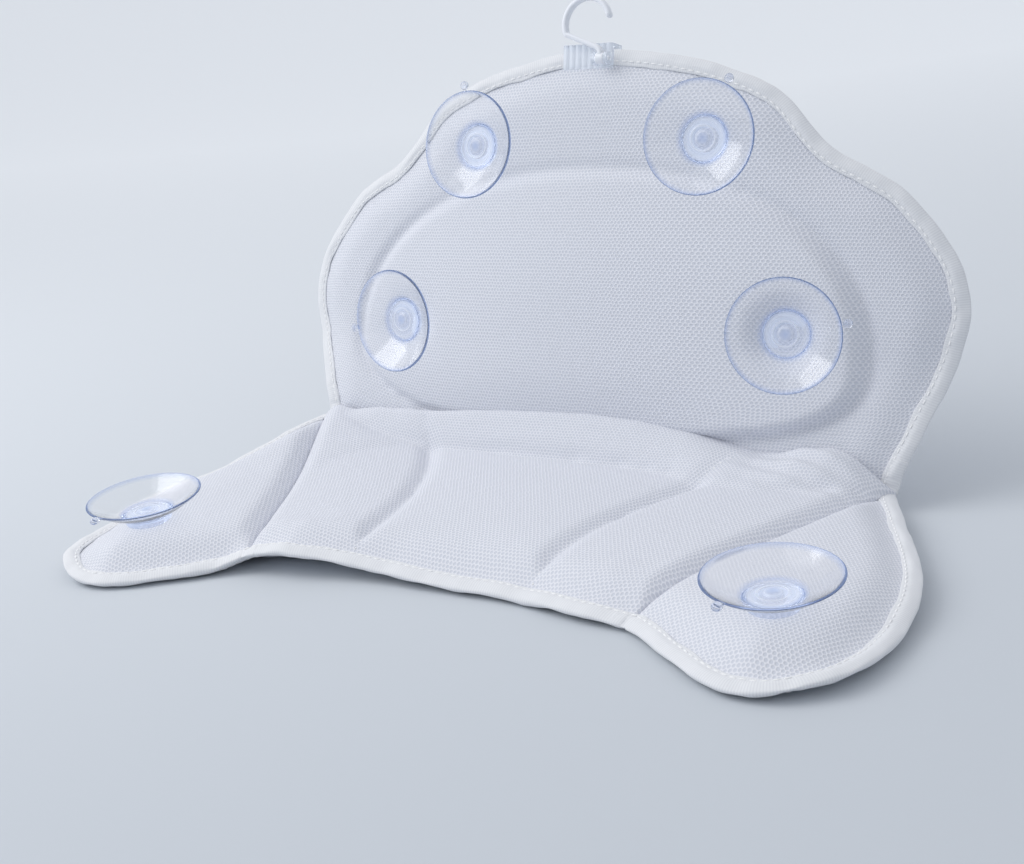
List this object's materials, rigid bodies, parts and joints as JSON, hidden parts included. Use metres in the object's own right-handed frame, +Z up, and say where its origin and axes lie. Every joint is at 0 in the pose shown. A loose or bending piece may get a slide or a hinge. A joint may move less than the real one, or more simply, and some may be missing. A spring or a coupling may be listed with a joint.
{
  "type": "bath pillow",
  "caption": "Quilted mesh bath pillow in a butterfly shape, folded at its waist, with a padded head panel, hinged wings, clear suction cups behind and a hanging hook.",
  "frame": {"origin": "under the middle of the pillow's box, on the surface that the back panel lies on", "axes": "+X to the right as seen from the cup side, +Y towards the raised head panel, +Z up"},
  "size_m": [0.4418, 0.2718, 0.2628],
  "materials": {
    "air_mesh": "white knitted spacer mesh, matt",
    "wadding": "white polyester wadding",
    "binding_tape": "ivory woven tape, folded and stitched",
    "sewing_thread": "white sewn seam",
    "clear_pvc": "clear soft PVC with a blue tint",
    "clear_washer": "clear plastic washer",
    "clear_clip": "clear ribbed plastic",
    "white_plastic": "moulded white plastic"
  },
  "bodies": {
    "back_rest": {"back_rear_mesh": "air_mesh", "back_face_mesh": "air_mesh", "back_centre_wadding": "wadding", "back_channel_wadding_left": "wadding", "back_channel_wadding_right": "wadding", "back_binding": "binding_tape", "waist_seam": "sewing_thread", "wing_seam_left": "sewing_thread", "wing_seam_right": "sewing_thread"},
    "head_rest": {"head_rear_mesh": "air_mesh", "head_face_mesh": "air_mesh", "head_wadding": "wadding", "head_cushion": "wadding", "head_binding": "binding_tape", "hook_clip": "clear_clip", "hook_pin": "white_plastic", "washer_head_upper_left": "clear_washer", "washer_head_upper_right": "clear_washer", "washer_head_lower_left": "clear_washer", "washer_head_lower_right": "clear_washer"},
    "wing_left": {"wing_left_rear_mesh": "air_mesh", "wing_left_face_mesh": "air_mesh", "wing_left_wadding": "wadding", "wing_left_binding": "binding_tape", "washer_wing_left": "clear_washer"},
    "wing_right": {"wing_right_rear_mesh": "air_mesh", "wing_right_face_mesh": "air_mesh", "wing_right_wadding": "wadding", "wing_right_binding": "binding_tape", "washer_wing_right": "clear_washer"},
    "suction_cup_head_upper_left": {"cup_head_upper_left": "clear_pvc"},
    "suction_cup_head_upper_right": {"cup_head_upper_right": "clear_pvc"},
    "suction_cup_head_lower_left": {"cup_head_lower_left": "clear_pvc"},
    "suction_cup_head_lower_right": {"cup_head_lower_right": "clear_pvc"},
    "suction_cup_wing_left": {"cup_wing_left": "clear_pvc"},
    "suction_cup_wing_right": {"cup_wing_right": "clear_pvc"},
    "hook": {"hanging_hook": "white_plastic"}
  },
  "joints": [
    {"name": "waist_fold", "type": "hinge", "parent": "back_rest", "child": "head_rest", "pos_m": [0, 0.07599, 0.0116], "axis": [1, 0, 0], "range_deg": [-77, 25]},
    {"name": "wing_left_fold", "type": "hinge", "parent": "back_rest", "child": "wing_left", "pos_m": [-0.176, 0.07599, 0.0095], "axis": [-0.3818, 0.9242, 0], "range_deg": [-30, 45]},
    {"name": "wing_right_fold", "type": "hinge", "parent": "back_rest", "child": "wing_right", "pos_m": [0.176, 0.07599, 0.0095], "axis": [-0.3818, -0.9242, 0], "range_deg": [-30, 45]},
    {"name": "cup_head_upper_left_spin", "type": "hinge", "parent": "head_rest", "child": "suction_cup_head_upper_left", "pos_m": [-0.06877, 0.11142, 0.18477], "axis": [-0.0872, -0.9707, 0.2241], "continuous": true},
    {"name": "cup_head_upper_right_spin", "type": "hinge", "parent": "head_rest", "child": "suction_cup_head_upper_right", "pos_m": [0.06877, 0.11142, 0.18477], "axis": [0.0872, -0.9707, 0.2241], "continuous": true},
    {"name": "cup_head_lower_left_spin", "type": "hinge", "parent": "head_rest", "child": "suction_cup_head_lower_left", "pos_m": [-0.11737, 0.08904, 0.08798], "axis": [-0.1736, -0.9752, 0.1371], "continuous": true},
    {"name": "cup_head_lower_right_spin", "type": "hinge", "parent": "head_rest", "child": "suction_cup_head_lower_right", "pos_m": [0.11737, 0.08904, 0.08798], "axis": [0.1736, -0.9752, 0.1371], "continuous": true},
    {"name": "cup_wing_left_spin", "type": "hinge", "parent": "wing_left", "child": "suction_cup_wing_left", "pos_m": [-0.1727, -0.08914, 0.02021], "axis": [0, -0.0698, 0.9976], "continuous": true},
    {"name": "cup_wing_right_spin", "type": "hinge", "parent": "wing_right", "child": "suction_cup_wing_right", "pos_m": [0.1727, -0.08914, 0.02021], "axis": [0, -0.0698, 0.9976], "continuous": true},
    {"name": "hook_swing", "type": "hinge", "parent": "head_rest", "child": "hook", "pos_m": [0.007, 0.11841, 0.22913], "axis": [1, 0, 0], "range_deg": [-5, 100]}
  ]
}
